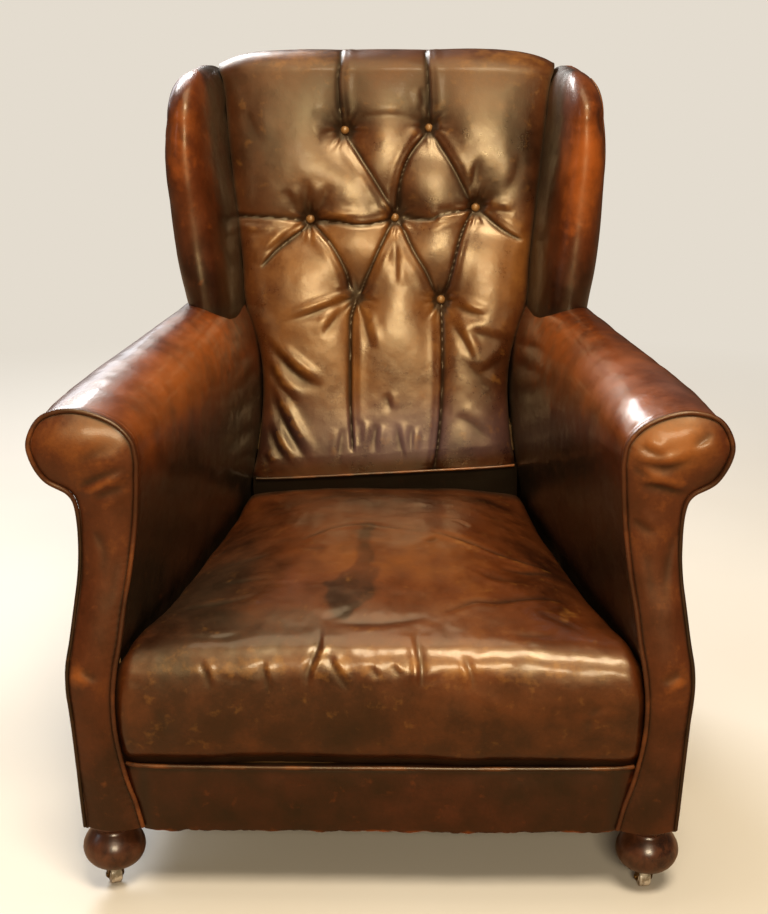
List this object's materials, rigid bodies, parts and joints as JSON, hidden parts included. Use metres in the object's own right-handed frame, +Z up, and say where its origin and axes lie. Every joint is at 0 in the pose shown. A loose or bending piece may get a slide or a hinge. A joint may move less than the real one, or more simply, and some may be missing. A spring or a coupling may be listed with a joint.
{
  "type": "worn club chair",
  "caption": "Small wing-backed club armchair in worn dark brown leather, with rolled arms, a button-tufted back, a sprung seat, and turned bun feet on swivelling castors",
  "frame": {"origin": "on the floor, under the middle of the chair's width and depth", "axes": "+Z up; the sitter faces -Y; +X is to the right of someone looking at the chair's front"},
  "size_m": [0.7948, 0.796, 0.984],
  "materials": {
    "leather": "aged, glossy, dark brown with worn edges",
    "back_leather": "aged, glossy, golden brown sheen over dark brown",
    "seat_leather": "aged, polished, creased, with a dark stain",
    "welt_leather": "worn, lighter orange brown",
    "button_leather": "worn light brown",
    "frame_wood": "plain sawn beech",
    "foot_wood": "dark polished, worn",
    "castor_brass": "dull aged",
    "castor_wheel": "glazed white ceramic, dulled",
    "jute": "coarse webbing and steel coils",
    "stuffing": "hair and fibre stuffing",
    "dust_cloth": "thin black cloth"
  },
  "bodies": {
    "chair": {"front_rail": "frame_wood", "back_rail": "frame_wood", "lower_back_rail": "frame_wood", "crest_rail": "frame_wood", "front_post_left": "frame_wood", "back_post_left": "frame_wood", "side_rail_left": "frame_wood", "arm_rail_left": "frame_wood", "wing_board_left": "frame_wood", "front_post_right": "frame_wood", "back_post_right": "frame_wood", "side_rail_right": "frame_wood", "arm_rail_right": "frame_wood", "wing_board_right": "frame_wood", "seat_springs": "jute", "spring_hessian": "jute", "seat_cover": "seat_leather", "seat_stuffing": "stuffing", "front_border": "leather", "seat_welt": "welt_leather", "arm_facing_left": "leather", "facing_welt_left": "welt_leather", "arm_cover_left": "leather", "arm_stuffing_left": "stuffing", "outside_arm_left": "leather", "wing_pad_left": "leather", "arm_facing_right": "leather", "facing_welt_right": "welt_leather", "arm_cover_right": "leather", "arm_stuffing_right": "stuffing", "outside_arm_right": "leather", "wing_pad_right": "leather", "back_button_1": "button_leather", "back_button_2": "button_leather", "back_button_3": "button_leather", "back_button_4": "button_leather", "back_button_5": "button_leather", "back_button_6": "button_leather", "tufted_back": "back_leather", "back_webbing": "jute", "lower_back_band": "leather", "outside_back": "leather", "dust_cover": "dust_cloth", "bun_foot_front_left": "foot_wood", "castor_plate_front_left": "castor_brass", "bun_foot_front_right": "foot_wood", "castor_plate_front_right": "castor_brass", "bun_foot_rear_left": "foot_wood", "castor_plate_rear_left": "castor_brass", "bun_foot_rear_right": "foot_wood", "castor_plate_rear_right": "castor_brass"},
    "swivel_front_left": {"castor_horn_front_left": "castor_brass"},
    "wheel_front_left": {"castor_wheel_front_left": "castor_wheel"},
    "swivel_front_right": {"castor_horn_front_right": "castor_brass"},
    "wheel_front_right": {"castor_wheel_front_right": "castor_wheel"},
    "swivel_rear_left": {"castor_horn_rear_left": "castor_brass"},
    "wheel_rear_left": {"castor_wheel_rear_left": "castor_wheel"},
    "swivel_rear_right": {"castor_horn_rear_right": "castor_brass"},
    "wheel_rear_right": {"castor_wheel_rear_right": "castor_wheel"}
  },
  "joints": [
    {"name": "castor_swivel_front_left", "type": "hinge", "parent": "chair", "child": "swivel_front_left", "pos_m": [-0.334, -0.3415, 0.03], "axis": [0, 0, 1], "continuous": true},
    {"name": "castor_roll_front_left", "type": "hinge", "parent": "swivel_front_left", "child": "wheel_front_left", "pos_m": [-0.33738, -0.33425, 0.012], "axis": [0.9063, 0.4226, 0], "continuous": true},
    {"name": "castor_swivel_front_right", "type": "hinge", "parent": "chair", "child": "swivel_front_right", "pos_m": [0.334, -0.3415, 0.03], "axis": [0, 0, 1], "continuous": true},
    {"name": "castor_roll_front_right", "type": "hinge", "parent": "swivel_front_right", "child": "wheel_front_right", "pos_m": [0.33289, -0.33358, 0.012], "axis": [0.9903, 0.1392, 0], "continuous": true},
    {"name": "castor_swivel_rear_left", "type": "hinge", "parent": "chair", "child": "swivel_rear_left", "pos_m": [-0.265, 0.2635, 0.03], "axis": [0, 0, 1], "continuous": true},
    {"name": "castor_roll_rear_left", "type": "hinge", "parent": "swivel_rear_left", "child": "wheel_rear_left", "pos_m": [-0.265, 0.2715, 0.012], "axis": [1, 0, 0], "continuous": true},
    {"name": "castor_swivel_rear_right", "type": "hinge", "parent": "chair", "child": "swivel_rear_right", "pos_m": [0.265, 0.2635, 0.03], "axis": [0, 0, 1], "continuous": true},
    {"name": "castor_roll_rear_right", "type": "hinge", "parent": "swivel_rear_right", "child": "wheel_rear_right", "pos_m": [0.265, 0.2715, 0.012], "axis": [1, 0, 0], "continuous": true}
  ]
}
